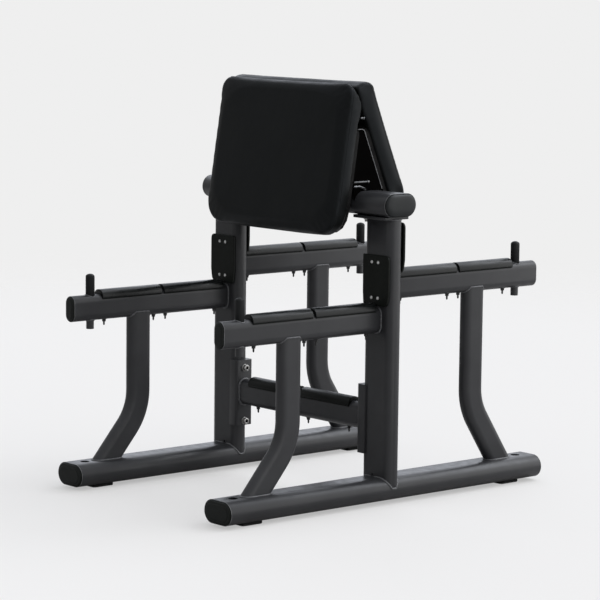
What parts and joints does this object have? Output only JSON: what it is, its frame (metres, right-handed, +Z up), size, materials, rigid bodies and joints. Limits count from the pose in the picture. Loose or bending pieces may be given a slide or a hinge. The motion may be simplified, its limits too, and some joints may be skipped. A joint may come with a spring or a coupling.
{
  "type": "standing preacher bench",
  "caption": "Free-standing preacher curl bench: two sloping arm pads on a crossbar between two uprights, with padded bar-rest arms at two heights, end pegs and bent struts.",
  "frame": {"origin": "on the floor below the middle of the bench, midway between the uprights", "axes": "+X along the crossbar to the bench's right, +Y from the front, lower arms towards the back, higher arms, +Z up"},
  "size_m": [0.856, 1.229, 1.2247],
  "materials": {
    "powder_coat": "satin anthracite powder coat",
    "end_cap": "satin black moulded plastic",
    "rubber": "matt black rubber",
    "wear_strip": "satin black rubber",
    "guard": "satin black plastic plate",
    "vinyl": "black upholstery vinyl, fine grain",
    "board": "black stained plywood",
    "zinc": "bright zinc plate"
  },
  "bodies": {
    "root": {"base_tube_left": "powder_coat", "upright_left": "powder_coat", "plate_bolt_left": "zinc", "base_cap_front_left": "end_cap", "foot_front_left": "rubber", "arm_front_left": "powder_coat", "arm_cap_front_left": "end_cap", "peg_sleeve_front_left": "rubber", "arm_strip_inner_front_left": "wear_strip", "arm_strip_outer_front_left": "wear_strip", "guard_front_left": "guard", "strut_front_left": "powder_coat", "base_cap_back_left": "end_cap", "foot_back_left": "rubber", "arm_back_left": "powder_coat", "arm_cap_back_left": "end_cap", "peg_sleeve_back_left": "rubber", "arm_strip_inner_back_left": "wear_strip", "arm_strip_outer_back_left": "wear_strip", "guard_back_left": "guard", "strut_back_left": "powder_coat", "base_tube_right": "powder_coat", "upright_right": "powder_coat", "plate_bolt_right": "zinc", "base_cap_front_right": "end_cap", "foot_front_right": "rubber", "arm_front_right": "powder_coat", "arm_cap_front_right": "end_cap", "peg_sleeve_front_right": "rubber", "arm_strip_inner_front_right": "wear_strip", "arm_strip_outer_front_right": "wear_strip", "guard_front_right": "guard", "strut_front_right": "powder_coat", "base_cap_back_right": "end_cap", "foot_back_right": "rubber", "arm_back_right": "powder_coat", "arm_cap_back_right": "end_cap", "peg_sleeve_back_right": "rubber", "arm_strip_inner_back_right": "wear_strip", "arm_strip_outer_back_right": "wear_strip", "guard_back_right": "guard", "strut_back_right": "powder_coat", "crossbar": "powder_coat", "crossbar_cap_left": "end_cap", "crossbar_cap_right": "end_cap", "lower_rail": "powder_coat", "rail_strip_left": "wear_strip", "rail_bolt_upper_left": "zinc", "rail_bolt_lower_left": "zinc", "rail_strip_right": "wear_strip", "rail_bolt_upper_right": "zinc", "rail_bolt_lower_right": "zinc", "pad_front": "vinyl", "pad_board_front": "board", "pad_back": "vinyl", "pad_board_back": "board", "pad_bracket_left": "powder_coat", "pad_bracket_right": "powder_coat"}
  },
  "joints": []
}
